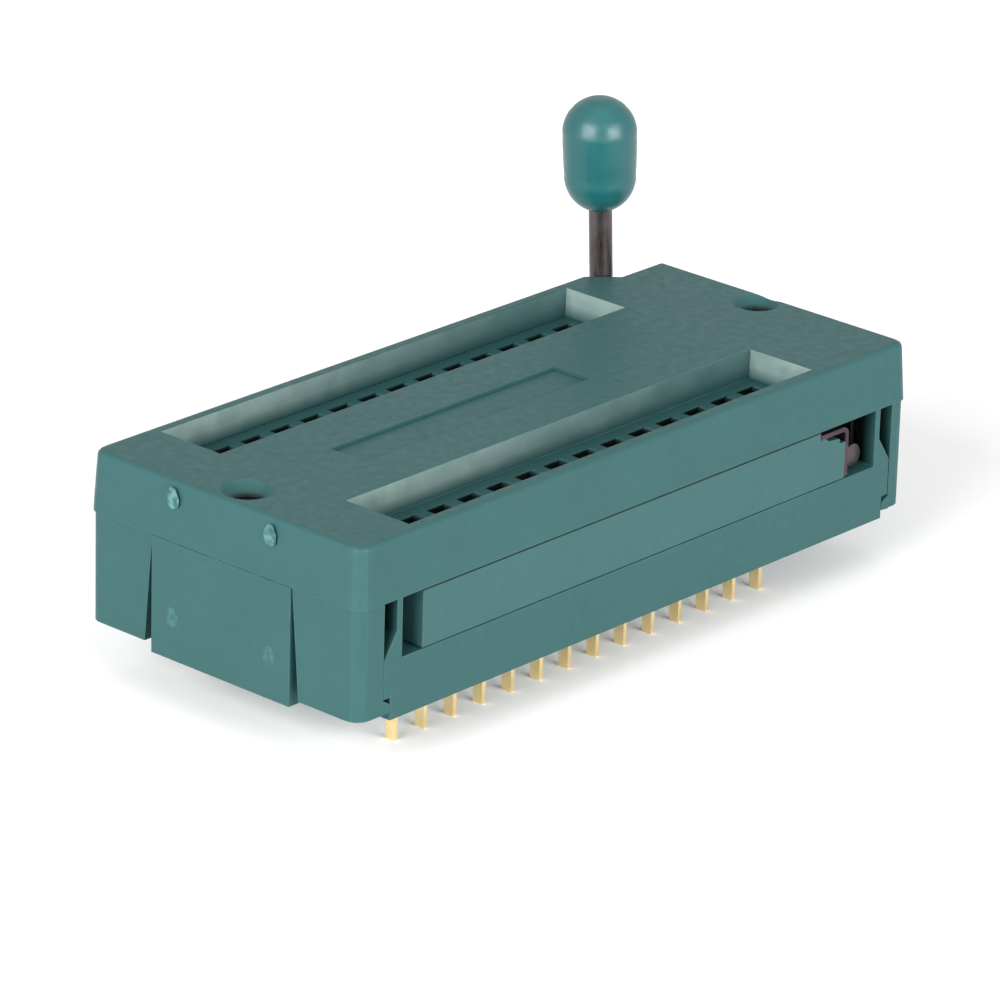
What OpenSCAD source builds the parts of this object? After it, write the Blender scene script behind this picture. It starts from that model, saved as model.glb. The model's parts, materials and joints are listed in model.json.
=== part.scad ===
// Zero-insertion-force test socket for two-row chips.
// A moulded base carries one spring contact per chip lead, a slider with a finger for
// each contact lies on it, and a snap-on cover guides the chip. A bent steel crank at
// one end pushes the slider and opens every contact at once.
// Origin: centre of the contact field, on the seating plane. +X runs to the lever end,
// +Y to the lever's side, +Z up.

/* [Contact field] */
// Contacts in each row
positions = 14; // [8:1:20]
// Distance between neighbouring contacts
pitch = 2.54; // [2.5:0.01:3]
// Distance between the two rows
row_spacing = 15.24; // [15.24:0.01:18]

/* [Body] */
// Last contact to the plain end
plain_end = 6.65; // [6.2:0.05:9]
// Last contact to the lever end
lever_end = 9.9; // [9.7:0.05:13]
// Row centre to the side of the body
side_margin = 3.53; // [3.5:0.01:4.5]
// Height of the base
base_h = 3.7; // [3.2:0.05:5]
// Thickness of the slider between base and cover
slider_h = 3.64; // [3.4:0.01:4]
// Height of the cover above the slider
cover_h = 3.83; // [3.6:0.01:6]
// Radius of the cover's upright corners
corner_r = 2; // [1.6:0.1:2.5]
// Radius of the cover's top edge
edge_r = 0.35; // [0.2:0.05:0.5]
// How far the cover's sides lean in from skirt to top
draft = 0.2; // [0.1:0.05:0.3]
// Set-back of the base, slider and posts from the skirt
step_in = 0.1; // [0.05:0.01:0.2]
// Gap between the slider and the base or cover
slide_gap = 0.08; // [0.04:0.01:0.12]
// Gap between moulded pieces that snap together
snap_gap = 0.05; // [0.03:0.01:0.1]

/* [Cover] */
// Width of the channel over each row
channel_w = 5.03; // [4.6:0.01:5.4]
// Depth of the channels
channel_depth = 1.97; // [1.5:0.01:2.2]
// Last contact to the end of the channel
channel_end = 1.58; // [1.4:0.01:2]
// Lead slot, along the row
slot_l = 1.35; // [1.2:0.01:1.5]
// Lead slot, across the row
slot_w = 3.1; // [2.9:0.01:3.3]
// Lead-in chamfer of a slot
slot_lead = 0.2; // [0.1:0.01:0.3]
// Thickness of the floor that the slots pierce
floor_t = 0.6; // [0.5:0.05:0.8]
// Corner post, along the body at the plain end
post_l = 2.2; // [2:0.05:2.4]
// Corner post, along the body at the lever end
lever_post_l = 1.45; // [1.3:0.05:1.6]
// Seating plane to the feet of the posts
post_lift = 0.5; // [0.4:0.05:0.8]
// Length of a post's toe under the base
toe_l = 0.55; // [0.4:0.05:0.7]
// Height of a post's toe
toe_h = 0.9; // [0.7:0.05:1.1]
// Length of the label recess
label_l = 19.8; // [12:0.1:22]
// Width of the label recess
label_w = 2.9; // [2:0.1:4]
// Depth of the label recess
label_depth = 0.2; // [0.1:0.05:0.3]
// Contact field centre to the recess centre, along the body
label_shift = -2.95; // [-4:0.05:0]

/* [Base] */
// Half width of the end panels
panel_half = 5.65; // [5.2:0.05:6]
// How much the cover's end opening widens towards the board
panel_flare = 0.7; // [0.3:0.05:0.9]
// Thickness of the latch arms
arm_t = 0.42; // [0.35:0.01:0.5]
// Depth of the latch arms, across the body
arm_w = 1.5; // [1.2:0.1:1.8]
// Cover post to the upper part of a latch arm
arm_gap = 1.1; // [1:0.05:1.2]
// Thickness of the base's shoulders beside the slider
shoulder_t = 1.45; // [1.3:0.05:1.6]
// Pocket of a contact, along the row
pocket_l = 1.8; // [1.7:0.01:1.9]
// Floor of the contact pockets
pocket_floor = 0.85; // [0.6:0.05:1.2]
// Height of the key that guides the slider
key_h = 0.8; // [0.5:0.05:1]
// Half width of the key
key_half = 3.9; // [3:0.1:4.2]
// Coring pockets along the base and under the cover
core_count = 7; // [6:1:8]
// Length of a coring pocket
core_l = 3.9; // [3.4:0.05:4]
// Width of a coring pocket in the cover
cover_core_w = 3.8; // [3:0.1:3.9]
// Width of a coring pocket in the base
base_core_w = 3.4; // [2.8:0.1:3.5]

/* [Board fixing] */
// Distance between the screw holes
hole_spacing = 45.72; // [45:0.01:48]
// Plain end to the first screw hole
hole_inset = 2.2; // [2:0.05:2.6]
// Bore of the screw holes
hole_d = 1.7; // [1.4:0.05:1.8]
// Mouth of the countersinks
countersink_d = 3.2; // [2.8:0.1:3.6]

/* [Slider] */
// How far the slider moves when the lever closes
travel = 0.42; // [0.3:0.01:0.45]
// Plain end of the body to the slider
slider_inset = 5.45; // [5.4:0.05:5.6]
// Width of a finger, along the row
finger_l = 0.46; // [0.3:0.01:0.5]
// Row centre to the face of a finger
finger_off = 0.45; // [0.4:0.01:0.6]
// Half width of the windows that the contacts pass through
window_half = 1.5; // [1.45:0.01:1.6]
// Depth of the slider's relieved middle
web_relief = 0.9; // [0.6:0.05:1.1]
// Thickness of the steel cam strip
strip_t = 0.3; // [0.25:0.01:0.4]
// Length of the cam strip's upper leg
strip_l = 2.65; // [2:0.05:3]
// Outer bend radius of the cam strip
strip_bend = 0.55; // [0.45:0.01:0.7]
// Drop from the slider's top to the strip
strip_drop = 0.25; // [0.15:0.01:0.4]

/* [Lever] */
// Diameter of the steel rod
rod_d = 1.5; // [1.3:0.05:1.6]
// Lever end of the body to the pivot
pivot_inset = 4.2; // [4.1:0.05:4.3]
// Clearance between the rod and the base under it
pivot_clear = 0.15; // [0.1:0.01:0.4]
// Throw of the crank
throw = 0.55; // [0.5:0.01:0.6]
// Lean of the open lever past upright
lean = 3.5; // [0:0.5:4]
// Side of the base to the end of the crank's journal
journal_inset = 0.75; // [0.5:0.05:1]
// Radial clearance of the rod in its bearings
bearing_gap = 0.04; // [0.02:0.01:0.08]
// Radius of the bend from crank to lever arm
bend_r = 1; // [0.9:0.05:1.2]
// Diameter of the knob
knob_d = 4.76; // [4:0.01:6]
// Length of the knob
knob_l = 7.7; // [6.5:0.1:10]
// Pivot to the underside of the knob
knob_reach = 10.95; // [9:0.05:15]
// Depth of the pocket that the lever folds through
lever_pocket = 2.18; // [2:0.01:2.3]
// Lever end of the body to the start of that pocket
lever_pocket_l = 6.45; // [6.4:0.05:6.6]

/* [Contacts] */
// Seating plane to the ends of the tails
tail_len = 3.44; // [2.5:0.01:4.5]
// Width of a tail, across the row
tail_w = 0.75; // [0.5:0.01:0.9]
// Thickness of a tail
tail_t = 0.3; // [0.2:0.01:0.4]
// Thickness of a contact leaf
leaf_t = 0.25; // [0.2:0.01:0.26]
// Width of a contact leaf, across the row
leaf_w = 2.4; // [2:0.05:2.6]
// Half of the gap between open leaves
leaf_half_gap = 0.5; // [0.48:0.01:0.54]
// How far each leaf bows in at its throat
throat = 0.14; // [0.05:0.01:0.2]

/* [Hidden] */
$fn = 48;
eps = 0.01;
far = 60;

// Body box, from the contact field outwards
field_l = (positions - 1) * pitch;
x_plain = -field_l / 2 - plain_end;
x_lever = field_l / 2 + lever_end;
x_mid = (x_plain + x_lever) / 2;
body_l = x_lever - x_plain;
row_y = row_spacing / 2;
body_w = 2 * (row_y + side_margin);
side_y = body_w / 2 - step_in;

// Levels
parting_z = base_h + slider_h + 2 * slide_gap;
body_h = parting_z + cover_h;
channel_floor = body_h - channel_depth;
pocket_top = channel_floor - floor_t;
slider_z0 = base_h + slide_gap;
slider_z1 = slider_z0 + slider_h;
wall_top = parting_z - snap_gap;

// Base side walls, between the cover's posts
base_x0 = x_plain + post_l + snap_gap;
base_x1 = x_lever - lever_post_l - snap_gap;
shoulder_half = side_y - arm_w - 0.25;
arm_knee_z = base_h + 1.75;

// Lever, crank and slider, from the pivot outwards
rod_r = rod_d / 2;
pivot_x = x_lever - pivot_inset;
pivot_z = base_h + pivot_clear + rod_r;
lever_y = body_w / 2 - rod_r + 0.1;
pocket_y = body_w / 2 - lever_pocket;
full_turn = 90 + lean;
// The slider's even travel runs this far ahead of the crank's curve
crank_lead = max([for (a = [0:full_turn])
    travel * a / full_turn - throw * (1 - cos(a - lean))]);
crank_gap = crank_lead + 0.023;
strip_x1 = pivot_x - throw - rod_r - crank_gap;
slider_x0 = x_plain + slider_inset;
slider_x1 = strip_x1 - strip_t;
bearing_z = pivot_z - rod_r - bearing_gap;
crank_half = row_y - 0.45;
web_t = 0.5;
bearing_half = crank_half + 0.15;
bearing_w = 1.1;

// Contacts
leaf_half_w = leaf_half_gap + leaf_t;
leaf_top = pocket_top - 0.15;
window_x0 = -leaf_half_w - travel - 0.05;
window_x1 = leaf_half_w + 0.05;
finger_x0 = -leaf_half_gap + 0.05;

// Places that repeat
row_side = [-1, 1];
contact_xs = [for (i = [0:positions - 1]) -field_l / 2 + i * pitch];
hole_xs = [x_plain + hole_inset, x_plain + hole_inset + hole_spacing];

function two_digits(i) = str(i < 10 ? "0" : "", i);
front_names = [for (i = [1:positions]) str("contact_front_", two_digits(i))];
rear_names = [for (i = [1:positions]) str("contact_rear_", two_digits(i))];

teal = [0.22, 0.43, 0.42];
steel = [0.30, 0.29, 0.29];
spring_steel = [0.42, 0.36, 0.38];
gold = [0.86, 0.72, 0.45];

// ---------- shared shapes ----------

// A profile in X and Z, extruded across the body from y0 to y1.
module across(y0, y1) {
    translate([0, y1, 0]) rotate([90, 0, 0]) linear_extrude(y1 - y0) children();
}

// A profile in Y and Z, extruded along the body from x0 to x1.
module along(x0, x1) {
    translate([x0, 0, 0]) rotate([90, 0, 90]) linear_extrude(x1 - x0) children();
}

// A box between two corners.
module box(low, high) {
    translate(low) cube(high - low);
}

// Every lead position, each with +Y of its children facing out of the body.
module each_lead() {
    for (side = row_side, x = contact_xs)
        translate([x, side * row_y, 0]) mirror([0, side < 0 ? 1 : 0, 0]) children();
}

// A grid of coring pockets under the land between the rows.
module core_pockets(z0, z1, count, size) {
    step = field_l / count;
    for (side = row_side, i = [0:count - 1])
        translate([-field_l / 2 + (i + 0.5) * step, side * (size.y / 2 + 0.4), 0])
            box([-size.x / 2, -size.y / 2, z0], [size.x / 2, size.y / 2, z1]);
}

// The pocket that the lever folds through, with its slanted inner end.
module lever_pocket_cut(z0, z1, grow_x, grow_y) {
    px = x_lever - lever_pocket_l - grow_x;
    py = pocket_y - grow_y;
    out = body_w / 2;
    translate([0, 0, z0]) linear_extrude(z1 - z0)
        polygon([[px, out + 1], [px, out], [px + out - py, py], [x_lever + 1, py],
                 [x_lever + 1, out + 1]]);
}

// ---------- cover ----------

// One side of the cover in section: leaning wall, then a rounded top edge.
function cover_side(half, steps = 4) = concat(
    [[half, parting_z]],
    [for (i = [0:steps]) let (a = 90 * i / steps)
        [half - draft - edge_r * (1 - cos(a)), body_h - edge_r * (1 - sin(a))]]
);

module cover_section(half) {
    side = cover_side(half);
    n = len(side);
    polygon(concat(side, [for (i = [n - 1:-1:0]) [-side[i].x, side[i].y]]));
}

module cover_block() {
    difference() {
        intersection() {
            translate([x_mid, 0, 0]) across(-body_w, body_w) cover_section(body_l / 2);
            along(x_plain - 1, x_lever + 1) cover_section(body_w / 2);
        }
        for (sx = [-1, 1], sy = [-1, 1])
            translate([x_mid + sx * (body_l / 2 - corner_r), sy * (body_w / 2 - corner_r), 0])
                mirror([sx < 0 ? 1 : 0, 0, 0]) mirror([0, sy < 0 ? 1 : 0, 0])
                    cover_corner();
    }
}

// What is cut away outside one rounded upright corner.
module cover_corner() {
    side = cover_side(corner_r);
    top = side[len(side) - 1];
    difference() {
        box([0, 0, parting_z - 1], [corner_r + 1, corner_r + 1, body_h + 1]);
        rotate_extrude() polygon(concat(
            [[0, parting_z - 2], [corner_r, parting_z - 2]], side,
            [[top.x, body_h + 2], [0, body_h + 2]]
        ));
    }
}

module rounded_rect(size, r) {
    square([size.x - 2 * r, size.y], center = true);
    square([size.x, size.y - 2 * r], center = true);
    for (sx = [-1, 1], sy = [-1, 1])
        translate([sx * (size.x / 2 - r), sy * (size.y / 2 - r)]) circle(r);
}

module cover_posts() {
    difference() {
        translate([x_mid, 0, post_lift]) linear_extrude(parting_z - post_lift + eps)
            rounded_rect([body_l - 2 * step_in, body_w - 2 * step_in], corner_r - step_in);
        box([x_plain + post_l, -far, -1], [x_lever - lever_post_l, far, parting_z]);
        along(x_plain - 1, x_lever + 1) polygon([
            [-panel_half - snap_gap, parting_z], [panel_half + snap_gap, parting_z],
            [panel_half + panel_flare, 0], [-panel_half - panel_flare, 0]
        ]);
    }
    for (side = row_side) {
        y0 = side > 0 ? shoulder_half + 0.3 : -side_y;
        y1 = side > 0 ? side_y : -shoulder_half - 0.3;
        across(y0, y1) toe_profile(x_plain + post_l, 1);
        across(y0, y1) toe_profile(x_lever - lever_post_l, -1);
    }
}

// The hook at a post's foot that snaps under the base.
module toe_profile(x, way) {
    polygon([[x - way * eps, post_lift], [x + way * toe_l, post_lift],
             [x + way * toe_l, post_lift + toe_h * 0.6],
             [x, post_lift + toe_h], [x - way * eps, post_lift + toe_h]]);
}

// Ribs under the cover that hold the crank down in its bearings.
module crank_ribs() {
    for (y = [bearing_half, -bearing_half - bearing_w])
        box([pivot_x - rod_r * 0.7, y, pivot_z + rod_r + bearing_gap],
            [pivot_x + rod_r * 0.7, y + bearing_w, parting_z + eps]);
}

module slot_cut() {
    box([-slot_l / 2, -slot_w / 2, pocket_top - eps],
        [slot_l / 2, slot_w / 2, channel_floor + 1]);
    across(-slot_w / 2, slot_w / 2) polygon([
        [-slot_l / 2, channel_floor - slot_lead], [slot_l / 2, channel_floor - slot_lead],
        [slot_l / 2 + slot_lead, channel_floor + eps],
        [-slot_l / 2 - slot_lead, channel_floor + eps]
    ]);
    box([-pocket_l / 2 - 0.15, -window_half, parting_z - 1],
        [pocket_l / 2 + 0.15, window_half, pocket_top]);
}

module screw_hole() {
    sink = (countersink_d - hole_d) / 2;
    translate([0, 0, -1]) cylinder(d = hole_d, h = body_h + 2);
    translate([0, 0, body_h - sink]) cylinder(d1 = hole_d, d2 = countersink_d + 2 * eps,
                                              h = sink + eps);
}

module top_cover() {
    color(teal) difference() {
        union() {
            cover_block();
            cover_posts();
            crank_ribs();
        }
        for (side = row_side)
            box([-field_l / 2 - channel_end, side * row_y - channel_w / 2, channel_floor],
                [field_l / 2 + channel_end, side * row_y + channel_w / 2, body_h + 1]);
        each_lead() slot_cut();
        translate([label_shift, -0.3, body_h - label_depth])
            box([-label_l / 2, -label_w / 2, 0], [label_l / 2, label_w / 2, 1]);
        for (x = hole_xs) translate([x, 0, 0]) screw_hole();
        core_pockets(parting_z - 1, body_h - 1.6, core_count, [core_l, cover_core_w]);
        lever_pocket_cut(-1, body_h + 1, 0, 0);
    }
}

// ---------- base ----------

// A latch arm: a thick root, a slanted knee and a thin tip beside the window.
module arm_profile(x, way) {
    tip = x + way * (arm_gap - snap_gap);
    polygon([[x, base_h - eps], [x, base_h + 0.15], [tip, arm_knee_z], [tip, wall_top],
             [tip + way * arm_t, wall_top], [tip + way * arm_t, base_h - eps]]);
}

module latch_arms() {
    for (y = [-side_y, side_y - arm_w]) {
        across(y, y + arm_w) arm_profile(base_x0, 1);
        across(y, y + arm_w) arm_profile(base_x1, -1);
    }
}

// End panel that closes the cover's end opening, with the shoulders behind it.
module end_blocks() {
    inner0 = base_x0 + shoulder_t;
    inner1 = base_x1 - shoulder_t - 0.25;
    box([x_plain, -panel_half, 0], [inner0, panel_half, wall_top]);
    box([inner1, -panel_half, 0], [x_lever, panel_half, wall_top]);
    for (y = [-shoulder_half, panel_half - eps]) {
        w = shoulder_half - panel_half + eps;
        box([base_x0, y, 0], [inner0, y + w, wall_top]);
        box([inner1, y, 0], [base_x1, y + w, wall_top]);
    }
}

// Open half-bearings that the crank's journals drop into.
module crank_bearings() {
    for (y = [bearing_half, -bearing_half - bearing_w])
        difference() {
            box([pivot_x - rod_r + 0.02, y, base_h - eps],
                [base_x1 - shoulder_t, y + bearing_w, pivot_z + rod_r * 1.6]);
            translate([pivot_x, y - 1, pivot_z]) rotate([-90, 0, 0])
                cylinder(r = rod_r + bearing_gap, h = bearing_w + 2);
            box([pivot_x - far, y - 1, pivot_z],
                [pivot_x + rod_r + bearing_gap, y + bearing_w + 1, far]);
            box([pivot_x - far, y - 1, bearing_z + 0.1],
                [pivot_x, y + bearing_w + 1, far]);
        }
}

module contact_pocket() {
    box([-pocket_l / 2, -leaf_w / 2 - 0.05, pocket_floor],
        [pocket_l / 2, leaf_w / 2 + 0.05, base_h + 1]);
    box([-tail_t / 2 - 0.03, -tail_w / 2 - 0.03, -1],
        [tail_t / 2 + 0.03, tail_w / 2 + 0.03, pocket_floor + eps]);
}

module toe_notches() {
    for (side = row_side) {
        y0 = side > 0 ? shoulder_half + 0.25 : -far;
        y1 = side > 0 ? far : -shoulder_half - 0.25;
        z1 = post_lift + toe_h + snap_gap;
        box([x_plain, y0, -1], [x_plain + post_l + toe_l + snap_gap, y1, z1]);
        box([x_lever - lever_post_l - toe_l - snap_gap, y0, -1], [x_lever, y1, z1]);
    }
}

module base_housing() {
    color(teal) difference() {
        union() {
            box([base_x0, -side_y, 0], [base_x1, side_y, base_h]);
            box([-field_l / 2, -key_half, base_h - eps],
                [field_l / 2, key_half, base_h + key_h]);
            end_blocks();
            latch_arms();
            crank_bearings();
        }
        each_lead() contact_pocket();
        for (x = hole_xs) translate([x, 0, 0]) screw_hole();
        core_pockets(-1, base_h - 1.2, core_count, [core_l, base_core_w]);
        toe_notches();
        lever_pocket_cut(base_h, body_h, 0, 0);
    }
}

// ---------- slider and cam strip ----------

module contact_window() {
    difference() {
        box([window_x0, -window_half, 0], [window_x1, window_half, far]);
        box([finger_x0, finger_off, -1], [finger_x0 + finger_l, window_half + 1, far + 1]);
    }
}

// Step under the strip's upper leg, down to the end face that the strip covers.
module strip_seat() {
    top = slider_z1 - strip_drop - strip_t;
    x0 = strip_x1 - strip_l - slide_gap;
    across(-far, far) polygon([
        [x0, slider_z1 + 1], [x0, top], [x0 + 0.5, top], [x0 + 0.8, top - 0.25],
        [slider_x1 - 0.6, top - 0.35], [slider_x1 - 0.5, top - 0.7],
        [slider_x1 + 1, top - 0.7], [slider_x1 + 1, slider_z1 + 1]
    ]);
}

module cam_slider() {
    relief_x = field_l / 2 - 1;
    color(teal) difference() {
        box([slider_x0, -side_y, slider_z0], [slider_x1, side_y, slider_z1]);
        each_lead() contact_window();
        strip_seat();
        box([-field_l / 2 - travel - slide_gap, -key_half - slide_gap, base_h],
            [field_l / 2 + slide_gap, key_half + slide_gap, slider_z0 + key_h]);
        box([-relief_x, -key_half, slider_z1 - web_relief],
            [relief_x, key_half, slider_z1 + 1]);
        lever_pocket_cut(0, body_h, travel + 0.15, 0.15);
    }
}

module cam_strip() {
    z1 = slider_z1 - strip_drop;
    x0 = strip_x1 - strip_l;
    bend_x = strip_x1 - strip_bend;
    bend_z = z1 - strip_bend;
    color(spring_steel) across(-side_y, pocket_y - 0.15) {
        translate([x0, z1 - strip_t]) square([bend_x - x0, strip_t]);
        intersection() {
            difference() {
                translate([bend_x, bend_z]) circle(strip_bend);
                translate([bend_x, bend_z]) circle(strip_bend - strip_t);
            }
            translate([bend_x, bend_z]) square(strip_bend + 1);
        }
        translate([strip_x1 - strip_t, slider_z0 + 0.1])
            square([strip_t, bend_z - slider_z0 - 0.1]);
    }
}

// ---------- lever ----------

// Straight rod along Y, at an offset from the pivot.
module journal(y0, y1, dx = 0) {
    translate([dx, y0, 0]) rotate([-90, 0, 0]) cylinder(r = rod_r, h = y1 - y0);
}

// Forged web that joins a journal to the offset crank.
module crank_web(y) {
    across(y, y + web_t) {
        circle(rod_r);
        translate([-throw, 0]) circle(rod_r);
        translate([-throw, -rod_r]) square([throw, rod_d]);
    }
}

module rod_bend() {
    translate([0, lever_y - bend_r, bend_r]) rotate([0, 90, 0])
        rotate_extrude(angle = 90) translate([bend_r, 0]) circle(rod_r);
}

module lever_crank() {
    socket = knob_reach + knob_l * 0.6;
    color(steel) translate([pivot_x, 0, pivot_z]) rotate([0, -lean, 0]) {
        journal(journal_inset - side_y, -crank_half);
        crank_web(-crank_half);
        journal(-crank_half + web_t, crank_half - web_t, -throw);
        crank_web(crank_half - web_t);
        journal(crank_half, lever_y - bend_r);
        rod_bend();
        translate([0, lever_y, bend_r]) cylinder(r = rod_r, h = socket - bend_r);
    }
}

module lever_knob() {
    r = knob_d / 2;
    color(teal) translate([pivot_x, 0, pivot_z]) rotate([0, -lean, 0])
        translate([0, lever_y, knob_reach]) difference() {
            union() {
                translate([0, 0, r]) cylinder(r = r, h = knob_l - 2 * r);
                translate([0, 0, r]) sphere(r);
                translate([0, 0, knob_l - r]) sphere(r);
            }
            translate([0, 0, -1]) cylinder(r = rod_r + 0.02, h = knob_l * 0.6 + 1.02);
        }
}

// ---------- contacts ----------

// One leaf in section: straight past the slider, then bowed in to the throat.
module leaf_profile(way) {
    bow_z = parting_z + 0.1;
    mid_z = (bow_z + leaf_top) / 2;
    inner = [[leaf_half_gap, pocket_floor], [leaf_half_gap, bow_z],
             [leaf_half_gap - throat, mid_z], [leaf_half_gap, leaf_top]];
    polygon([for (p = inner) [way * p.x, p.y],
             for (i = [3:-1:0]) [way * (inner[i].x + leaf_t), inner[i].y]]);
}

module contact() {
    color(gold) {
        across(-leaf_w / 2, leaf_w / 2) {
            leaf_profile(1);
            leaf_profile(-1);
            translate([-leaf_half_gap - eps, pocket_floor])
                square([2 * leaf_half_gap + 2 * eps, tail_t]);
        }
        box([-tail_t / 2, -tail_w / 2, -tail_len], [tail_t / 2, tail_w / 2, pocket_floor + eps]);
    }
}

module contact_at(side, i) {
    translate([contact_xs[i], side * row_y, 0]) mirror([0, side < 0 ? 1 : 0, 0]) contact();
}

// ---------- assembly ----------

base_housing();
top_cover();
cam_slider();
cam_strip();
lever_crank();
lever_knob();
for (i = [0:positions - 1]) {
    contact_at(-1, i);
    contact_at(1, i);
}
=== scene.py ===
"""Zero-insertion-force chip socket: finishes, small mould details, studio and camera.

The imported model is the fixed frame. The base, the slider, the steel rod and strip and the
contacts keep their modelled shapes and get finishes here. The cover is shown with tighter
upright corners, the knob is turned again with its mould lines, and the gate marks of the
mouldings are added.
"""

import json
import logging
import math
from dataclasses import dataclass, field
from enum import Enum
from typing import Sequence

import bmesh
import bpy
from mathutils import Matrix, Vector

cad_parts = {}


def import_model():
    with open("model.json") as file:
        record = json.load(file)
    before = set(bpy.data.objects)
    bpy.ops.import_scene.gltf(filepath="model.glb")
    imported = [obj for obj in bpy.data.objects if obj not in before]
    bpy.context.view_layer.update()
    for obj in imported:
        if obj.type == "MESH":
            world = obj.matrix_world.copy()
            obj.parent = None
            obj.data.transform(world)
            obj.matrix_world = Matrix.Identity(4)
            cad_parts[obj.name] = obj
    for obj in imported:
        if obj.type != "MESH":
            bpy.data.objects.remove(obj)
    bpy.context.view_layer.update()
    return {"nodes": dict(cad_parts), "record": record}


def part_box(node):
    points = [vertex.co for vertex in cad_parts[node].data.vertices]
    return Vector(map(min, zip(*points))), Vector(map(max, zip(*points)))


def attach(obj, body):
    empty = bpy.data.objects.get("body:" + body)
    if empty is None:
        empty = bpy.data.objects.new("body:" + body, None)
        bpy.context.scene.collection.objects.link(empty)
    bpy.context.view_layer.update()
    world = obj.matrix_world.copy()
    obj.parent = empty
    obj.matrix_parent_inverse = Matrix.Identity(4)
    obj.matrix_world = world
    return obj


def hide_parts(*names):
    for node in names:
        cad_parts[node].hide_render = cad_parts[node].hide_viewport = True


FRAME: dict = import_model()

LOG = logging.getLogger("socket")
MM = 0.001
NOISE_SPAN = (0.3, 0.7)  # what most of a noise texture's values lie between


# ---------------------------------------------------------------- helpers


class Body(Enum):
    """The rigid groups that move against each other."""

    HOUSING = "housing"
    SLIDER = "slider"
    LEVER = "lever"


class Slot(Enum):
    """The material slots of the record."""

    HOUSING = "housing"
    SLIDER = "slider"
    KNOB = "knob"
    ROD = "rod_steel"
    STRIP = "spring_steel"
    GOLD = "gold"


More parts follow.
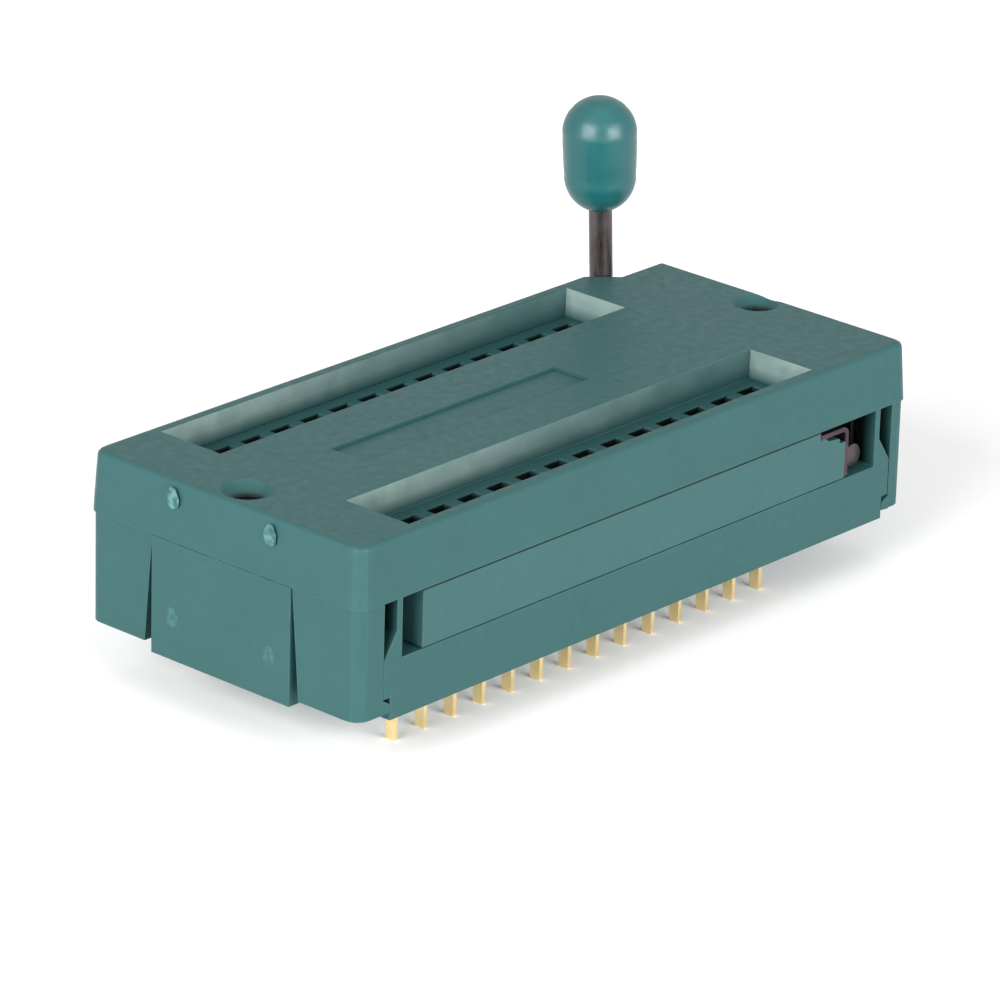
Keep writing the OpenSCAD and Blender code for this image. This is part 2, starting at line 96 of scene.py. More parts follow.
class NodeGraph:
    """A material's node tree, with short calls for the nodes used here."""

    def __init__(self, name: str) -> None:
        """Start an empty material.

        Args:
            name: Name of the material.
        """
        self.material = bpy.data.materials.new(name)
        self.material.use_nodes = True
        self.tree = self.material.node_tree
        self.tree.nodes.clear()

    def add(self, kind: str, **settings: object) -> bpy.types.Node:
        """Add a node and set its properties.

        Args:
            kind: Blender's type name of the node.
            **settings: Properties to set on it.

        Returns:
            The new node.
        """
        node = self.tree.nodes.new(kind)
        for key, value in settings.items():
            setattr(node, key, value)
        return node

    def link(self, source: bpy.types.NodeSocket, target: bpy.types.NodeSocket) -> None:
        """Join an output to an input."""
        self.tree.links.new(source, target)

    def position(self) -> bpy.types.NodeSocket:
        """Return the surface's position in the piece's own space."""
        return self.add("ShaderNodeTexCoord").outputs["Object"]

    def noise(self, scale: float, detail: float = 3.0, stretch: Sequence[float] = (1, 1, 1)
              ) -> bpy.types.NodeSocket:
        """Add a noise texture on the piece's own coordinates.

        Args:
            scale: Cells per metre.
            detail: Octaves of finer noise.
            stretch: Factors on the three axes.

        Returns:
            The noise value.
        """
        mapping = self.add("ShaderNodeMapping")
        mapping.inputs["Scale"].default_value = stretch
        self.link(self.position(), mapping.inputs["Vector"])
        node = self.add("ShaderNodeTexNoise")
        node.inputs["Scale"].default_value = scale
        node.inputs["Detail"].default_value = detail
        self.link(mapping.outputs["Vector"], node.inputs["Vector"])
        return node.outputs["Fac"]

    def remap(self, value: bpy.types.NodeSocket, low: float, high: float,
              out_low: float = 0.0, out_high: float = 1.0) -> bpy.types.NodeSocket:
        """Map a range of a value onto another range, clamped.

        Args:
            value: The value to map.
            low: Lower end of its range.
            high: Upper end of its range.
            out_low: Result at the lower end.
            out_high: Result at the upper end.

        Returns:
            The mapped value.
        """
        node = self.add("ShaderNodeMapRange")
        for socket, number in zip(node.inputs[1:5], (low, high, out_low, out_high)):
            socket.default_value = number
        self.link(value, node.inputs[0])
        return node.outputs[0]

    def math(self, operation: str, first: bpy.types.NodeSocket,
             second: bpy.types.NodeSocket | float = 0.0) -> bpy.types.NodeSocket:
        """Combine two values.

        Args:
            operation: Blender's name of the operation.
            first: First value.
            second: Second value, a socket or a number.

        Returns:
            The result.
        """
        node = self.add("ShaderNodeMath", operation=operation)
        self.link(first, node.inputs[0])
        if isinstance(second, (int, float)):
            node.inputs[1].default_value = second
        else:
            self.link(second, node.inputs[1])
        return node.outputs[0]

    def fall(self, value: bpy.types.NodeSocket, start: float, end: float
             ) -> bpy.types.NodeSocket:
        """Return 1 up to a start and 0 from an end, with a slope between them.

        Args:
            value: The value to follow.
            start: Where the fall starts.
            end: Where it ends.

        Returns:
            The mask.
        """
        return self.remap(value, start, end, 1.0, 0.0)

    def size(self, value: bpy.types.NodeSocket) -> bpy.types.NodeSocket:
        """Return a value without its sign."""
        return self.math("ABSOLUTE", value)

    def product(self, first: bpy.types.NodeSocket, *others: bpy.types.NodeSocket
                ) -> bpy.types.NodeSocket:
        """Multiply masks together.

        Args:
            first: The first mask.
            *others: The masks that narrow it.

        Returns:
            Their product.
        """
        for other in others:
            first = self.math("MULTIPLY", first, other)
        return first

    def axes(self, vector: bpy.types.NodeSocket) -> bpy.types.NodeOutputs:
        """Split a vector into its X, Y and Z.

        Args:
            vector: The vector to split.

        Returns:
            The three outputs, by name.
        """
        split = self.add("ShaderNodeSeparateXYZ")
        self.link(vector, split.inputs[0])
        return split.outputs

    def mix(self, factor: bpy.types.NodeSocket, first: Sequence[float] | bpy.types.NodeSocket,
            second: Sequence[float] | bpy.types.NodeSocket) -> bpy.types.NodeSocket:
        """Mix two colours.

        Args:
            factor: Share of the second colour.
            first: Colour at factor 0, as numbers or a socket.
            second: Colour at factor 1, as numbers or a socket.

        Returns:
            The mixed colour.
        """
        node = self.add("ShaderNodeMix", data_type="RGBA")
        self.link(factor, node.inputs[0])
        for socket, colour in ((node.inputs[6], first), (node.inputs[7], second)):
            if isinstance(colour, bpy.types.NodeSocket):
                self.link(colour, socket)
            else:
                socket.default_value = (*colour, 1.0)
        return node.outputs[2]

    def edge_normal(self, radius: float) -> bpy.types.NodeSocket:
        """Return a normal that rounds sharp edges by a radius in metres."""
        node = self.add("ShaderNodeBevel", samples=6)
        node.inputs["Radius"].default_value = radius
        return node.outputs["Normal"]

    def edge_mask(self, normal: bpy.types.NodeSocket, low: float, high: float
                  ) -> bpy.types.NodeSocket:
        """Return 1 along rounded edges and 0 on flats.

        Args:
            normal: A normal from edge_normal().
            low: Turn of the normal at which the mask starts.
            high: Turn of the normal at which it is full.

        Returns:
            The mask.
        """
        dot = self.add("ShaderNodeVectorMath", operation="DOT_PRODUCT")
        self.link(normal, dot.inputs[0])
        self.link(self.add("ShaderNodeNewGeometry").outputs["Normal"], dot.inputs[1])
        turned = self.math("SUBTRACT", dot.outputs["Value"], 1.0)
        return self.remap(turned, -low, -high)

    def bump(self, height: bpy.types.NodeSocket, distance: float,
             normal: bpy.types.NodeSocket | None = None, strength: float = 1.0
             ) -> bpy.types.NodeSocket:
        """Add a bump.

        Args:
            height: Height of the surface, 0 to 1.
            distance: Height in metres at 1.
            normal: Normal to start from.
            strength: Strength of the effect.

        Returns:
            The bumped normal.
        """
        node = self.add("ShaderNodeBump")
        node.inputs["Distance"].default_value = distance
        node.inputs["Strength"].default_value = strength
        self.link(height, node.inputs["Height"])
        if normal is not None:
            self.link(normal, node.inputs["Normal"])
        return node.outputs["Normal"]

    def surface(self, colour: bpy.types.NodeSocket, roughness: bpy.types.NodeSocket,
                normal: bpy.types.NodeSocket, metallic: float = 0.0, specular: float = 0.5
                ) -> bpy.types.Material:
        """Finish the material with a principled surface.

        Args:
            colour: Base colour.
            roughness: Roughness.
            normal: Surface normal.
            metallic: 1 for bare metal.
            specular: Specular level.

        Returns:
            The finished material.
        """
        shader = self.add("ShaderNodeBsdfPrincipled")
        self.link(colour, shader.inputs["Base Color"])
        self.link(roughness, shader.inputs["Roughness"])
        self.link(normal, shader.inputs["Normal"])
        shader.inputs["Metallic"].default_value = metallic
        shader.inputs["Specular IOR Level"].default_value = specular
        output = self.add("ShaderNodeOutputMaterial")
        self.link(shader.outputs[0], output.inputs["Surface"])
        return self.material


def srgb(red: int, green: int, blue: int) -> tuple[float, float, float]:
    """Turn a display colour of 0 to 255 into linear light."""
    def channel(value: int) -> float:
        """Turn one channel into linear light."""
        share = value / 255
        return share / 12.92 if share <= 0.04045 else ((share + 0.055) / 1.055) ** 2.4
    return channel(red), channel(green), channel(blue)


def dress(obj: bpy.types.Object, material: bpy.types.Material) -> None:
    """Give every material slot of an object one finish."""
    if not obj.material_slots:
        obj.data.materials.append(material)
    for slot in obj.material_slots:
        slot.material = material


def centre(low: Vector, high: Vector) -> Vector:
    """Return the middle of a box."""
    return (low + high) / 2


def node_box(name: str) -> tuple[Vector, Vector]:
    """Return a node's lowest and highest corners as vectors."""
    low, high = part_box(name)
    return Vector(low), Vector(high)


def piece_from(mesh: bmesh.types.BMesh, name: str, material: bpy.types.Material,
               body: Body, smooth: bool = True) -> bpy.types.Object:
    """Make an object from a mesh, dress it and let it ride on a body.

    Args:
        mesh: The finished mesh, which is freed.
        name: Name of the piece.
        material: Its finish.
        body: The body that it rides on.
        smooth: Whether its faces are shaded smooth.

    Returns:
        The new object.
    """
    data = bpy.data.meshes.new(name)
    bmesh.ops.recalc_face_normals(mesh, faces=mesh.faces)
    mesh.to_mesh(data)
    mesh.free()
    for polygon in data.polygons:
        polygon.use_smooth = smooth
    obj = bpy.data.objects.new(name, data)
    bpy.context.scene.collection.objects.link(obj)
    dress(obj, material)
    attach(obj, body.value)
    return obj


# ---------------------------------------------------------------- finishes


@dataclass(frozen=True)
class MouldedResin:
    """Matt moulded resin with a fine spark texture, paler edges that are partly wear and partly a
    painted highlight, and painted shade where its zones are given.
    """

    name: str
    colour: tuple[float, float, float]
    # Paler colour for the random worn flecks and for the painted highlight lines along the edges.
    worn_and_highlight: tuple[float, float, float]
    roughness: float = 0.5
    roughness_dip: float = 0.06
    roughness_rise: float = 0.08
    specular: float = 0.26
    # Paler colour of the upright channel walls: partly rubbed resin, partly painted light.
    frosted_and_lit: tuple[float, float, float] = srgb(138, 158, 154)
    # Near-black colour of painted shade, for the hollows, the screw bores, the gap under the cover
    # and the side windows.
    deep: tuple[float, float, float] = srgb(5, 12, 12)
    shade: float = 0.93
    edge: float = 0.12 * MM
    edge_turn: tuple[float, float] = (0.03, 0.25)
    edge_patches: tuple[float, float] = (0.35, 0.6)
    # Share of the paler colour on the edges: partly wear, partly painted highlight.
    edge_wear_and_highlight: tuple[float, float] = (0.30, 0.65)
    flecks: tuple[float, float] = (0.66, 0.80)
    fleck_share: float = 0.05
    grain_height: float = 0.006 * MM
    grain_strength: float = 0.8
    # Zones of the paler channel walls and of the painted shade; each is left out when not given.
    channel: tuple[Vector, Vector] | None = None
    gap_top: float | None = None
    window: tuple[Vector, Vector] | None = None
    bores: tuple[float, float, float] = (0.0, 0.0, 0.0)
    soft_edge: float = 0.05 * MM
    sharp_edge: float = 0.02 * MM
    window_dark: tuple[float, float] = (1.1 * MM, 0.15 * MM)
    window_ends: tuple[float, float] = (0.4 * MM, 0.6 * MM)
    gap_band: tuple[float, float] = (0.10 * MM, 0.06 * MM)
    floor_band: tuple[float, float] = (0.14 * MM, 0.03 * MM)
    skin_band: tuple[float, float] = (0.2 * MM, 0.3 * MM)
    end_band: tuple[float, float] = (0.1 * MM, 0.3 * MM)
    bore_rim: float = 0.3 * MM
    bore_band: tuple[float, float] = (0.7 * MM, 0.35 * MM)
    frost_height: float = 0.9 * MM
    frost_turn: tuple[float, float] = (0.1, 0.4)
    frost_share: tuple[float, float] = (0.55, 0.9)
    # How the painted light on the channel walls fades towards the right end.
    frost_light_fade: tuple[float, float] = (0.7, 0.2)
    end_wall_turn: tuple[float, float] = (0.4, 0.6)

    def build(self) -> bpy.types.Material:
        """Build the material.

        Returns:
            The finished material.
        """
        graph = NodeGraph(self.name)
        rounded = graph.edge_normal(self.edge)
        cloud = graph.remap(graph.noise(180, 4), *NOISE_SPAN)
        grain = graph.noise(9000, 2)
        darker = tuple(self.shade * c for c in self.colour)
        base = graph.mix(cloud, darker, self.colour)
        fleck = graph.remap(graph.noise(3600, 2, (1, 0.5, 1)), *self.flecks,
                            0.0, self.fleck_share)
        base = graph.mix(fleck, base, self.worn_and_highlight)
        # The rounded edges get the paler colour: partly wear, partly a painted highlight line.
        edges = graph.edge_mask(rounded, *self.edge_turn)
        patchy = graph.remap(graph.noise(900, 3), *self.edge_patches, *self.edge_wear_and_highlight)
        base = graph.mix(graph.product(edges, patchy), base, self.worn_and_highlight)
        if self.channel is not None:
            # The channel walls get the paler colour: partly rubbing, partly painted light.
            base = graph.mix(self._channel_frost_and_light_mask(graph), base, self.frosted_and_lit)
            # The hollows and screw bores get the near-black colour as painted shade.
            base = graph.mix(self._hollow_shade_mask(graph), base, self.deep)
        if self.gap_top is not None:
            # The top edge that runs under the cover gets the near-black colour as painted shade of
            # the gap.
            base = graph.mix(self._gap_shade_mask(graph), base, self.deep)
        if self.window is not None:
            # The inside of the side windows gets the near-black colour as painted shade.
            base = graph.mix(self._window_shade_mask(graph), base, self.deep)
        rough = graph.remap(graph.noise(1600, 3), *NOISE_SPAN,
                            self.roughness - self.roughness_dip,
                            self.roughness + self.roughness_rise)
        normal = graph.bump(grain, self.grain_height, rounded, self.grain_strength)
        return graph.surface(base, rough, normal, specular=self.specular)

    def _window_shade_mask(self, graph: NodeGraph) -> bpy.types.NodeSocket:
        """Mask what lies deep inside the side windows, where no light falls, for painted shade.

        Args:
            graph: The material under work.

        Returns:
            The mask.
        """
        low, high = self.window
        place = graph.axes(graph.position())
        inner, outer = self.window_dark
        near, far = self.window_ends
        sharp = self.sharp_edge
        depth = graph.fall(graph.size(place["Y"]), high.y - inner, high.y - outer)
        above = graph.remap(place["Z"], low.z - sharp, low.z + sharp)
        below = graph.fall(place["Z"], high.z - sharp, high.z + sharp)
        after = graph.remap(place["X"], low.x + near, low.x + far)
        before = graph.fall(place["X"], high.x - far, high.x - near)
        return graph.product(depth, above, below, after, before)

    def _gap_shade_mask(self, graph: NodeGraph) -> bpy.types.NodeSocket:
        """Mask the top edge of a piece that runs under another, where the gap's shade is painted.

        Args:
            graph: The material under work.

        Returns:
            The mask.
        """
        start, full = self.gap_band
        height = graph.axes(graph.position())["Z"]
        return graph.remap(height, self.gap_top - start, self.gap_top - full)

    def _hollow_shade_mask(self, graph: NodeGraph) -> bpy.types.NodeSocket:
        """Mask the hollows under the channel floors and the depth of the screw holes, where
        painted shade goes.

        Args:
            graph: The material under work.

        Returns:
            The mask.
        """
        low, high = self.channel
        place = graph.axes(graph.position())
        deep, shallow = self.floor_band
        below = graph.fall(place["Z"], low.z - deep, low.z - shallow)
        across = graph.size(place["Y"])
        inner = graph.fall(across, *(high.y + step for step in self.skin_band))
        length = graph.fall(graph.size(place["X"]), *(high.x + step for step in self.end_band))
        hollows = graph.product(inner, length, below)
        middle, spread, reach = self.bores
        offset = graph.size(graph.math("SUBTRACT", place["X"], middle))
        offset = graph.size(graph.math("SUBTRACT", offset, spread))
        radius = graph.math("SQRT", graph.math("ADD", graph.math("POWER", offset, 2.0),
                                               graph.math("POWER", across, 2.0)))
        bore = graph.fall(radius, reach + self.soft_edge, reach + self.bore_rim)
        deep, shallow = self.bore_band
        sunk = graph.fall(place["Z"], high.z - deep, high.z - shallow)
        return graph.math("MAXIMUM", hollows, graph.product(bore, sunk))

    def _channel_frost_and_light_mask(self, graph: NodeGraph) -> bpy.types.NodeSocket:
        """Mask the upright walls of the lead channels: paler where chips rub, and painted lighter
        towards the left end and on the end walls as painted light.

        Args:
            graph: The material under work.

        Returns:
            The mask.
        """
        low, high = self.channel
        soft = self.soft_edge
        place = graph.axes(graph.position())
        inside = graph.remap(place["Z"], low.z, low.z + self.frost_height)
        below = graph.fall(place["Z"], high.z - soft, high.z)
        reach = graph.size(place["Y"])
        near = graph.remap(reach, low.y - soft, low.y)
        far = graph.fall(reach, high.y, high.y + soft)
        length = graph.fall(graph.size(place["X"]), high.x, high.x + soft)
        facing = graph.axes(graph.add("ShaderNodeNewGeometry").outputs["True Normal"])
        upright = graph.fall(graph.size(facing["Z"]), *self.frost_turn)
        scuff = graph.remap(graph.noise(500, 5), *NOISE_SPAN, *self.frost_share)
        # Painted light: the paler colour fades towards the right end and stays full on the end
        # walls, as if lit from the left.
        fade_end, fade_share = self.frost_light_fade
        light_fade = graph.remap(place["X"], -high.x, fade_end * high.x, 1.0, fade_share)
        lit_end_wall = graph.remap(graph.size(facing["X"]), *self.end_wall_turn)
        scuff = graph.product(scuff, graph.math("MAXIMUM", light_fade, lit_end_wall))
        return graph.product(inside, below, near, far, length, upright, scuff)


@dataclass(frozen=True)
class PolishedResin:
    """Glossier resin of the knob, with faint flow marks round it."""

    name: str
    colour: tuple[float, float, float]
    shade: float = 0.88
    gloss: tuple[float, float] = (0.30, 0.40)
    grain_height: float = 0.004 * MM

    def build(self) -> bpy.types.Material:
        """Build the material.

        Returns:
            The finished material.
        """
        graph = NodeGraph(self.name)
        flow = graph.remap(graph.noise(500, 3, (1, 1, 3)), *NOISE_SPAN)
        base = graph.mix(flow, tuple(self.shade * c for c in self.colour), self.colour)
        rough = graph.remap(graph.noise(2500, 3), *NOISE_SPAN, *self.gloss)
        normal = graph.bump(graph.noise(3500, 2), self.grain_height, strength=0.6)
        return graph.surface(base, rough, normal, specular=0.5)


@dataclass(frozen=True)
class DrawnSteel:
    """Drawn steel rod or strip, with fine lines and a slight heat tint."""

    name: str
    colour: tuple[float, float, float]
    tint: tuple[float, float, float]
    roughness: float = 0.38
    lines: tuple[float, float, float] = (6, 6, 0.5)
    edge: float = 0.06 * MM
    roughness_dip: float = 0.08
    roughness_rise: float = 0.1
    line_height: float = 0.004 * MM

    def build(self) -> bpy.types.Material:
        """Build the material.

        Returns:
            The finished material.
        """
        graph = NodeGraph(self.name)
        rounded = graph.edge_normal(self.edge)
        cloud = graph.remap(graph.noise(350, 4), 0.35, 0.7)
        base = graph.mix(cloud, self.colour, self.tint)
        lines = graph.noise(2600, 3, self.lines)
        rough = graph.remap(lines, *NOISE_SPAN, self.roughness - self.roughness_dip,
                            self.roughness + self.roughness_rise)
        normal = graph.bump(lines, self.line_height, rounded, 0.5)
        return graph.surface(base, rough, normal, metallic=1.0)


@dataclass(frozen=True)
class GoldPlate:
    """Soft gold plate over stamped strip, duller in random cloudy patches."""

    name: str
    colour: tuple[float, float, float]
    dull: tuple[float, float, float]
    dull_share: float = 0.5
    edge: float = 0.05 * MM
    gloss: tuple[float, float] = (0.26, 0.42)
    grain_height: float = 0.003 * MM

    def build(self) -> bpy.types.Material:
        """Build the material.

        Returns:
            The finished material.
        """
        graph = NodeGraph(self.name)
        rounded = graph.edge_normal(self.edge)
        cloud = graph.remap(graph.noise(700, 4), 0.35, 0.75, 0.0, self.dull_share)
        base = graph.mix(cloud, self.colour, self.dull)
        rough = graph.remap(graph.noise(2200, 3, (1, 1, 0.3)), *NOISE_SPAN, *self.gloss)
        normal = graph.bump(graph.noise(6000, 2), self.grain_height, rounded, 0.5)
        return graph.surface(base, rough, normal, metallic=1.0)


@dataclass(frozen=True)
class ScuffedResin:
    """Torn, paler resin of a gate mark."""

    name: str
    colour: tuple[float, float, float]
    deep: tuple[float, float, float]
    matt: tuple[float, float] = (0.6, 0.8)
    tear_height: float = 0.012 * MM

    def build(self) -> bpy.types.Material:
        """Build the material.

        Returns:
            The finished material.
        """
        graph = NodeGraph(self.name)
        spots = graph.remap(graph.noise(2600, 3), 0.36, 0.66)
        base = graph.mix(spots, self.deep, self.colour)
        rough = graph.remap(graph.noise(2500, 3), *NOISE_SPAN, *self.matt)
        normal = graph.bump(graph.noise(5200, 4), self.tear_height)
        return graph.surface(base, rough, normal, specular=0.35)


# ---------------------------------------------------------------- sub-assemblies


@dataclass
class Mouldings:
    """Base and cover, with the marks that moulding left on them."""

    resin: tuple[float, float, float] = srgb(41, 81, 81)
    # Paler colour for worn flecks and for the painted highlight lines along the edges.
    worn_and_highlight: tuple[float, float, float] = srgb(88, 134, 133)
    scuff: tuple[float, float, float] = srgb(84, 126, 126)
    faint_scuff: tuple[float, float, float] = srgb(54, 98, 97)
    gate_radius: float = 0.5 * MM
    gate_height: float = 0.012 * MM
    gate_sink: float = 0.004 * MM
    gate_stretch: float = 1.35
    gate_sides: int = 28
    gate_rings: tuple[tuple[float, float], ...] = (
        (1.0, 0.0), (0.84, 0.6), (0.6, 1.0), (0.34, 0.5), (0.15, 0.2))
    modelled_corner: float = 2.0 * MM
    plain_corner: float = 1.0 * MM
    lever_corner: float = 0.7 * MM
    gate_half_span: float = 3.95 * MM
    cover_gate_drop: float = 1.1 * MM
    base_gate_rise: float = 2.7 * MM
    channel_depth: float = 1.97 * MM
    channel_inner: float = 2.55 * MM
    channel_outer: float = 2.6 * MM
    channel_past_lead: float = 2.5 * MM

    def build(self) -> list[bpy.types.Object]:
        """Dress the mouldings and add their gate marks.

        Returns:
            The added pieces.
        """
        cover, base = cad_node("top_cover"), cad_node("base_housing")
        low, high = node_box("top_cover")
        lead, _ = node_box("contact_front_14")
        row = abs(centre(*node_box("contact_front_01")).y)
        channel = (Vector((0, row - self.channel_inner, high.z - self.channel_depth)),
                   Vector((lead.x + self.channel_past_lead, row + self.channel_outer, high.z)))
        slider_low, slider_high = node_box("cam_slider")
        window = (Vector((low.x, low.y, slider_low.z)), Vector((high.x, high.y, slider_high.z)))
        screws = next(m for m in record()["mounts"] if m["name"] == "board_screws")
        holes = screws["dims"]
        bores = (screws["pos_m"][0], holes["spacing_x_mm"] / 2 * MM, holes["hole_r_mm"] * MM)
        # The channel, window and bore zones place the cover's paler channel walls and its painted
        # shade.
        resin = MouldedResin("cover_resin", self.resin, self.worn_and_highlight, channel=channel,
                             window=window, bores=bores).build()
        dress(cover, resin)
        self._cover_skin(cover, resin)
        # The base gets the painted shade inside the side windows too.
        dress(base, MouldedResin("base_resin", self.resin, self.worn_and_highlight, window=window).build())
        torn = ScuffedResin("gate_scuff", self.scuff, self.resin).build()
        faint = ScuffedResin("gate_scuff_faint", self.faint_scuff, self.resin).build()
        marks = []
        for side in (-1, 1):
            spots = (("cover", high.z - self.cover_gate_drop), ("base", self.base_gate_rise))
            for owner, height in spots:
                spot = Vector((low.x, side * self.gate_half_span, height))
                where = "front" if side < 0 else "rear"
                marks.append(self._gate_mark(f"gate_mark_{owner}_{where}", spot,
                                             torn if owner == "cover" else faint))
        return marks

    def _cover_skin(self, cover: bpy.types.Object, resin: bpy.types.Material
                    ) -> bpy.types.Object:
        """Shape the visible cover: the modelled one with tighter upright corners.

        Args:
            cover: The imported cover.
            resin: Its finish.

        Returns:
            The visible cover.
        """
        mesh = bmesh.new()
        mesh.from_mesh(cover.data)
        mesh.transform(cover.matrix_world)
        low, high = node_box("top_cover")
        for vert in mesh.verts:
            for end, radius in ((low.x, self.plain_corner), (high.x, self.lever_corner)):
                self._tighten(vert, end, (low.y, high.y), math.copysign(1, end), radius)
        skin = piece_from(mesh, "top_cover_skin", resin, Body.HOUSING, False)
        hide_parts("top_cover")
        return skin

    def _tighten(self, vert: bmesh.types.BMVert, end: float, sides: tuple[float, float],
                 way: float, radius: float) -> None:
        """Move a point of a rounded upright corner onto a tighter corner.

        Args:
            vert: The point.
            end: Place of the end face.
            sides: Places of the two side faces.
            way: 1 where the end faces +X, else -1.
            radius: The new radius.
        """
        for side in sides:
            turn = math.copysign(1, side)
            across = way * (vert.co.x - end) + self.modelled_corner
            out = turn * (vert.co.y - side) + self.modelled_corner
            if across <= 0 or out <= 0:
                continue
            reach = math.hypot(across, out)
            angle = math.atan2(out, across)
            wider = self._corner_reach(angle, radius) / self.modelled_corner
            vert.co.x += way * (wider - 1) * reach * math.cos(angle)
            vert.co.y += turn * (wider - 1) * reach * math.sin(angle)

    def _corner_reach(self, angle: float, radius: float) -> float:
        """Return the distance from the old corner's centre to the new outline.

        Args:
            angle: Direction from the centre, 0 to a quarter turn.
            radius: Radius of the new corner.

        Returns:
            The distance.
        """
        size, inset = self.modelled_corner, self.modelled_corner - radius
        cos, sin = math.cos(angle), math.sin(angle)
        if size * sin <= inset * cos:
            return size / cos
        if size * cos <= inset * sin:
            return size / sin
        middle = inset * (cos + sin)
        return middle + math.sqrt(max(0.0, middle ** 2 - 2 * inset ** 2 + radius ** 2))

    def _gate_mark(self, name: str, spot: Vector, material: bpy.types.Material
                   ) -> bpy.types.Object:
        """Build one torn ring with a pit in the middle, on the plain end.

        Args:
            name: Name of the piece.
            spot: Its middle on the end face.
            material: Its finish.

        Returns:
            The new piece.
        """
        sides = self.gate_sides
        mesh = bmesh.new()
        loops = []
        for share, rise in self.gate_rings:
            loop = []
            for index in range(sides):
                angle = math.tau * index / sides
                ragged = 1 + 0.05 * math.sin(3 * angle + spot.y * 900) + 0.03 * math.sin(7 * angle)
                reach = self.gate_radius * share * ragged
                loop.append(mesh.verts.new((
                    spot.x - self.gate_height * rise + self.gate_sink,
                    spot.y + reach * math.cos(angle),
                    spot.z + self.gate_stretch * reach * math.sin(angle),
                )))
            loops.append(loop)
        for outer, inner in zip(loops, loops[1:]):
            for index in range(sides):
                after = (index + 1) % sides
                mesh.faces.new((outer[index], outer[after], inner[after], inner[index]))
        mesh.faces.new(loops[-1])
        return piece_from(mesh, name, material, Body.HOUSING)


@dataclass
class CamPlate:
    """The slider and the steel strip that the crank bears on."""

    resin: tuple[float, float, float] = srgb(48, 86, 86)
    # Paler colour for worn flecks and for the painted highlight lines along the edges.
    worn_and_highlight: tuple[float, float, float] = srgb(88, 128, 126)
    strip_colour: tuple[float, float, float] = srgb(88, 76, 82)
    strip_tint: tuple[float, float, float] = srgb(66, 55, 61)
    strip_roughness: float = 0.45
    strip_lines: tuple[float, float, float] = (0.6, 6, 0.6)

    def build(self) -> None:
        """Dress the slider and its strip."""
        top = node_box("cam_slider")[1].z
        # The slider's top edge gets painted shade of the gap under the cover.
        resin = MouldedResin("slider_resin", self.resin, self.worn_and_highlight, gap_top=top)
        dress(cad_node("cam_slider"), resin.build())
        strip = DrawnSteel("strip_steel", self.strip_colour, self.strip_tint,
                           self.strip_roughness, self.strip_lines)
        dress(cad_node("cam_strip"), strip.build())


@dataclass
class Lever:
    """The bent rod and its knob."""

    rod_colour: tuple[float, float, float] = srgb(104, 98, 98)
    rod_tint: tuple[float, float, float] = srgb(82, 72, 72)
    rod_roughness: float = 0.36
    knob_colour: tuple[float, float, float] = srgb(20, 84, 86)
    sides: int = 64
    dome_steps: int = 20
    seam: float = 0.03 * MM
    seam_width: float = 0.07 * MM
    seam_places: tuple[float, float, float] = (-0.98, 1.02, 2.1)
    taper: float = 0.08 * MM
    crown: float = 0.05 * MM

    def build(self) -> bpy.types.Object:
        """Dress the rod and turn the knob.

        Returns:
            The knob.
        """
        dress(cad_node("lever_crank"),
              DrawnSteel("rod_steel", self.rod_colour, self.rod_tint,
                         self.rod_roughness).build())
        joint = next(j for j in record()["behaviour"]["joints"] if j["name"] == "lever_turn")
        pivot = Vector(joint["pos_m"])
        low, high = node_box("lever_knob")
        middle = centre(low, high)
        pivot.y = middle.y
        axis = (middle - pivot).normalized()
        width = (high.y - low.y) / 2
        half = ((high.z - low.z) / 2 - width) / abs(axis.z) + width
        mesh = self._turned_knob(width, half)
        turn = Vector((0, 0, 1)).rotation_difference(axis).to_matrix().to_4x4()
        mesh.transform(Matrix.Translation(middle) @ turn)
        knob = piece_from(mesh, "lever_knob_turned",
                          PolishedResin("knob_resin", self.knob_colour).build(),
                          Body.LEVER)
        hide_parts("lever_knob")
        return knob

    def _turned_knob(self, radius: float, half: float) -> bmesh.types.BMesh:
        """Turn the knob's profile about Z, with its mould lines.

        Args:
            radius: Radius of the knob.
            half: Half of its length.

        Returns:
            The closed mesh, centred on the origin.
        """
        straight = half - radius
        profile: list[tuple[float, float]] = []
        steps = self.dome_steps
        for index in range(steps + 1):
            angle = -math.pi / 2 + math.pi / 2 * index / steps
            profile.append((radius * math.cos(angle), -straight + radius * math.sin(angle)))
        for share in (0.25, 0.5, 0.75):
            profile.append((radius, -straight + 2 * straight * share))
        for index in range(steps + 1):
            angle = math.pi / 2 * index / steps
            profile.append((radius * math.cos(angle), straight + radius * math.sin(angle)))
        mesh = bmesh.new()
        loops = []
        for reach, height in profile[1:-1]:
            reach *= 1 - self.taper / radius * (0.5 - 0.5 * max(-1, min(1, height / straight)))
            reach += self._seam_relief(height, straight)
            height = min(height, half - self.crown)
            loops.append([mesh.verts.new((reach * math.cos(math.tau * k / self.sides),
                                          reach * math.sin(math.tau * k / self.sides),
                                          height)) for k in range(self.sides)])
        for lower, upper in zip(loops, loops[1:]):
            for k in range(self.sides):
                after = (k + 1) % self.sides
                mesh.faces.new((lower[k], lower[after], upper[after], upper[k]))
        mesh.faces.new(list(reversed(loops[0])))
        mesh.faces.new(loops[-1])
        return mesh

    def _seam_relief(self, height: float, straight: float) -> float:
        """Return how far a mould line stands in at a height."""
        lines = (straight * place for place in self.seam_places)
        return -self.seam * sum(math.exp(-((height - z) / self.seam_width) ** 2) for z in lines)


@dataclass
class ContactRows:
    """Both rows of spring contacts."""

    gold: tuple[float, float, float] = srgb(250, 226, 172)
    dull: tuple[float, float, float] = srgb(222, 192, 136)

    def build(self) -> int:
        """Dress the contacts.

        Returns:
            How many there are.
        """
        material = GoldPlate("contact_gold", self.gold, self.dull).build()
        names = [n for n in FRAME["nodes"] if n.startswith("contact_")]
        for name in names:
            dress(FRAME["nodes"][name], material)
        return len(names)


# ---------------------------------------------------------------- studio


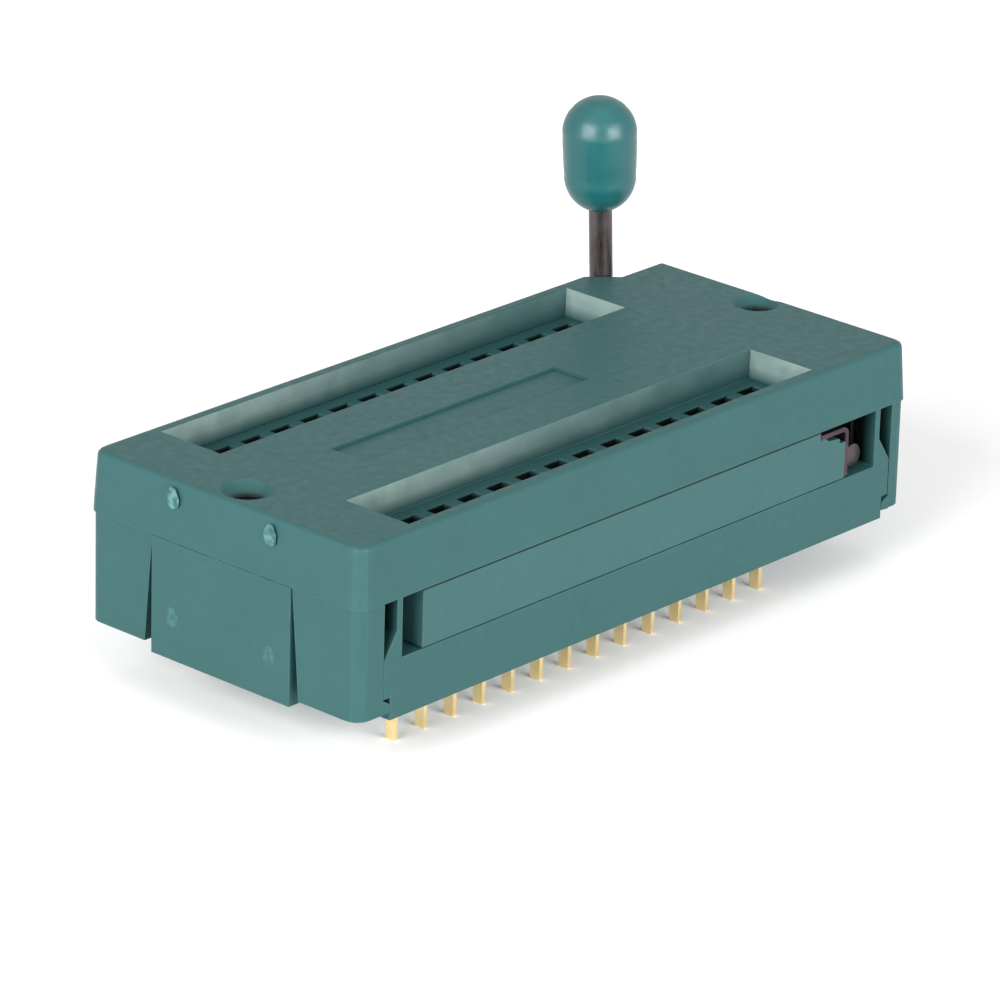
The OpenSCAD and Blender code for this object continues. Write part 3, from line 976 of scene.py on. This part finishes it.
@dataclass
class Studio:
    """Pale floor, soft lamps, bright world and the camera."""

    azimuth: float = math.radians(-48.19)
    elevation: float = math.radians(21.885)
    roll: float = math.radians(1.586)
    distance: float = 381.79 * MM
    shift_right: float = 0.666 * MM
    shift_up: float = -0.171 * MM
    aim: Vector = field(default_factory=lambda: Vector((0, 0, 5 * MM)))
    lens: float = 226.46
    sensor: float = 36.0
    clip: tuple[float, float] = (0.01, 20.0)
    sky: float = 0.48
    floor_size: float = 4.0
    floor_tone: float = 0.93
    floor_glow: float = 0.12

    def build(self) -> None:
        """Build the whole studio."""
        self._camera()
        self._world()
        self._floor()
        for name, spot, size, power in (
            ("key_left", (-0.58, -0.05, 0.22), 0.45, 5.8),
            ("fill_front", (-0.02, -0.72, 0.16), 0.50, 7.6),
            ("top_soft", (-0.05, -0.10, 0.75), 0.60, 0.5),
        ):
            self._lamp(name, Vector(spot), size, power)

    def _axes(self) -> tuple[Vector, Vector, Vector]:
        """Return the camera's right, up and backward directions."""
        az, el = self.azimuth, self.elevation
        back = Vector((math.sin(az) * math.cos(el), -math.cos(az) * math.cos(el), math.sin(el)))
        right = Vector((math.cos(az), math.sin(az), 0))
        up = back.cross(right)
        c, s = math.cos(self.roll), math.sin(self.roll)
        return c * right + s * up, c * up - s * right, back

    def _camera(self) -> None:
        """Place the camera."""
        right, up, back = self._axes()
        data = bpy.data.cameras.new("camera")
        data.lens = self.lens
        data.sensor_width = self.sensor
        data.clip_start, data.clip_end = self.clip
        camera = bpy.data.objects.new("camera", data)
        bpy.context.scene.collection.objects.link(camera)
        turn = Matrix((right, up, back)).transposed().to_4x4()
        spot = self.aim + right * self.shift_right + up * self.shift_up + back * self.distance
        camera.matrix_world = Matrix.Translation(spot) @ turn
        bpy.context.scene.camera = camera

    def _lamp(self, name: str, spot: Vector, size: float, power: float) -> None:
        """Add one square lamp aimed at the socket.

        Args:
            name: Name of the lamp.
            spot: Where it stands.
            size: Length of its sides.
            power: Its power in watts.
        """
        data = bpy.data.lights.new(name, "AREA")
        data.size = size
        data.energy = power
        lamp = bpy.data.objects.new(name, data)
        bpy.context.scene.collection.objects.link(lamp)
        lamp.location = spot
        lamp.rotation_euler = (self.aim - spot).to_track_quat("-Z", "Y").to_euler()

    def _seen_white(self, tree: bpy.types.NodeTree) -> bpy.types.NodeSocket:
        """Return 1 for rays that should see plain white.

        Args:
            tree: The node tree under work.

        Returns:
            The mask.
        """
        path = tree.nodes.new("ShaderNodeLightPath")
        either = tree.nodes.new("ShaderNodeMath")
        either.operation = "MAXIMUM"
        tree.links.new(path.outputs["Is Camera Ray"], either.inputs[0])
        tree.links.new(path.outputs["Is Glossy Ray"], either.inputs[1])
        every = tree.nodes.new("ShaderNodeMath")
        every.operation = "MAXIMUM"
        tree.links.new(either.outputs[0], every.inputs[0])
        tree.links.new(path.outputs["Is Transmission Ray"], every.inputs[1])
        return every.outputs[0]

    def _world(self) -> None:
        """Light the scene with an even sky that looks white."""
        world = bpy.data.worlds.new("studio")
        world.use_nodes = True
        tree = world.node_tree
        tree.nodes.clear()
        dim, white = (tree.nodes.new("ShaderNodeBackground") for _ in range(2))
        dim.inputs["Strength"].default_value = self.sky
        white.inputs["Strength"].default_value = 1.0
        for node in (dim, white):
            node.inputs["Color"].default_value = (1, 1, 1, 1)
        mix = tree.nodes.new("ShaderNodeMixShader")
        tree.links.new(self._seen_white(tree), mix.inputs[0])
        tree.links.new(dim.outputs[0], mix.inputs[1])
        tree.links.new(white.outputs[0], mix.inputs[2])
        output = tree.nodes.new("ShaderNodeOutputWorld")
        tree.links.new(mix.outputs[0], output.inputs["Surface"])
        bpy.context.scene.world = world

    def _floor(self) -> None:
        """Lay the floor under the contact tails."""
        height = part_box("contact_front_01")[0][2]
        half = self.floor_size / 2
        data = bpy.data.meshes.new("floor")
        data.from_pydata([(-half, -half, height), (half, -half, height),
                          (half, half, height), (-half, half, height)], [], [(0, 1, 2, 3)])
        floor = bpy.data.objects.new("floor", data)
        bpy.context.scene.collection.objects.link(floor)
        graph = NodeGraph("floor_white")
        diffuse = graph.add("ShaderNodeBsdfDiffuse")
        diffuse.inputs["Color"].default_value = (*(self.floor_tone,) * 3, 1)
        glow = graph.add("ShaderNodeEmission")
        glow.inputs["Strength"].default_value = self.floor_glow
        none = graph.add("ShaderNodeEmission")
        none.inputs["Strength"].default_value = 0.0
        pick = graph.add("ShaderNodeMixShader")
        graph.link(self._seen_white(graph.tree), pick.inputs[0])
        graph.link(none.outputs[0], pick.inputs[1])
        graph.link(glow.outputs[0], pick.inputs[2])
        both = graph.add("ShaderNodeAddShader")
        graph.link(diffuse.outputs[0], both.inputs[0])
        graph.link(pick.outputs[0], both.inputs[1])
        output = graph.add("ShaderNodeOutputMaterial")
        graph.link(both.outputs[0], output.inputs["Surface"])
        data.materials.append(graph.material)


# ---------------------------------------------------------------- assembly


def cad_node(name: str) -> bpy.types.Object:
    """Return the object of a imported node."""
    return FRAME["nodes"][name]


def record() -> dict:
    """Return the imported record."""
    return FRAME["record"]


def main() -> None:
    """Build every sub-assembly in order and report it."""
    logging.basicConfig(level=logging.INFO, format="%(name)s: %(message)s")
    bpy.context.scene.view_settings.view_transform = "Standard"
    marks = Mouldings().build()
    LOG.info("mouldings dressed, %d gate marks", len(marks))
    CamPlate().build()
    LOG.info("slider and cam strip dressed")
    knob = Lever().build()
    LOG.info("lever dressed, %s has %d faces", knob.name, len(knob.data.polygons))
    LOG.info("%d contacts dressed", ContactRows().build())
    Studio().build()
    LOG.info("studio built")


if __name__ == "__main__":
    main()
